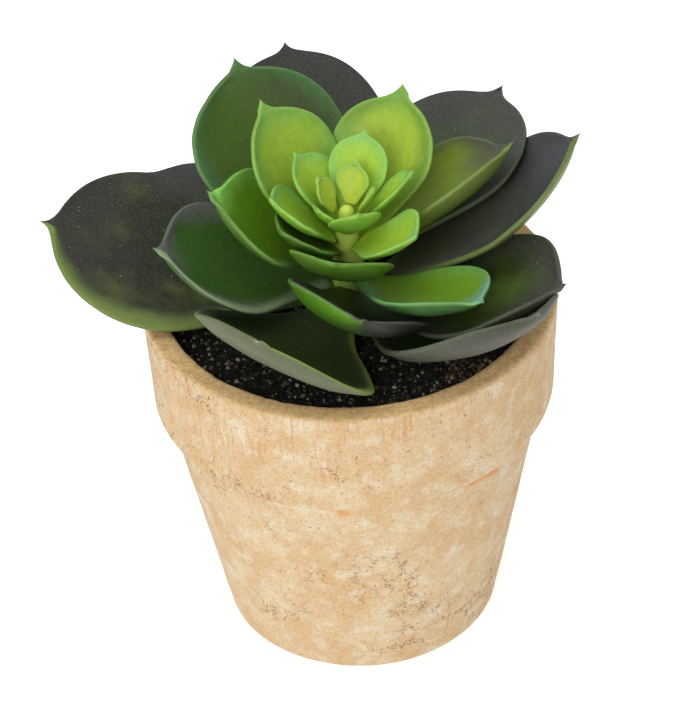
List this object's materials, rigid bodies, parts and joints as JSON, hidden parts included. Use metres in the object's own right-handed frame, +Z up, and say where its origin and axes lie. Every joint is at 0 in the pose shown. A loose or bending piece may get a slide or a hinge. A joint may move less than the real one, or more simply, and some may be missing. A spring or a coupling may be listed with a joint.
{
  "type": "potted succulent",
  "caption": "Rosette succulent with thick spoon-shaped leaves, green at the heart and dark at the edge, in a round tapered clay pot filled with dark soil.",
  "frame": {"origin": "centre of the pot's flat foot, on the surface that the pot stands on", "axes": "+Z up along the pot's axis; -Y is the side shown to the viewer, +X to the viewer's right"},
  "size_m": [0.1294, 0.129, 0.1366],
  "materials": {
    "clay": "unglazed, chalky, with a pale bloom and fine pits",
    "soil": "coarse, loose and dry",
    "stem": "matte and fleshy",
    "leaf_outer": "matte with a fine powdery bloom, charcoal green",
    "leaf_upper": "matte with a fine powdery bloom, green to charcoal",
    "leaf_middle": "matte with a fine powdery bloom, green",
    "leaf_inner": "matte with a fine powdery bloom, yellow green",
    "leaf_heart": "matte with a fine powdery bloom, lemon green"
  },
  "bodies": {
    "root": {"pot": "clay", "soil": "soil", "stem": "stem", "leaf_outer_left": "leaf_outer", "leaf_outer_back_left": "leaf_outer", "leaf_outer_back": "leaf_outer", "leaf_outer_right": "leaf_outer", "leaf_outer_front_right": "leaf_outer", "leaf_outer_front_left": "leaf_outer", "leaf_upper_back_left": "leaf_upper", "leaf_upper_back_right": "leaf_upper", "leaf_upper_right": "leaf_upper", "leaf_upper_front": "leaf_upper", "leaf_middle_left": "leaf_middle", "leaf_middle_bright": "leaf_middle", "leaf_middle_back_left": "leaf_middle", "leaf_middle_back": "leaf_middle", "leaf_middle_right": "leaf_middle", "leaf_middle_front_right": "leaf_middle", "leaf_middle_front": "leaf_middle", "leaf_middle_front_left": "leaf_middle", "leaf_inner_front_right": "leaf_inner", "leaf_inner_left": "leaf_inner", "leaf_inner_back_left": "leaf_inner", "leaf_inner_back": "leaf_inner", "leaf_inner_right": "leaf_inner", "leaf_inner_front": "leaf_inner", "leaf_inner_front_left": "leaf_inner", "leaf_heart_left": "leaf_heart", "leaf_heart_back": "leaf_heart", "leaf_heart_right": "leaf_heart"}
  },
  "joints": []
}
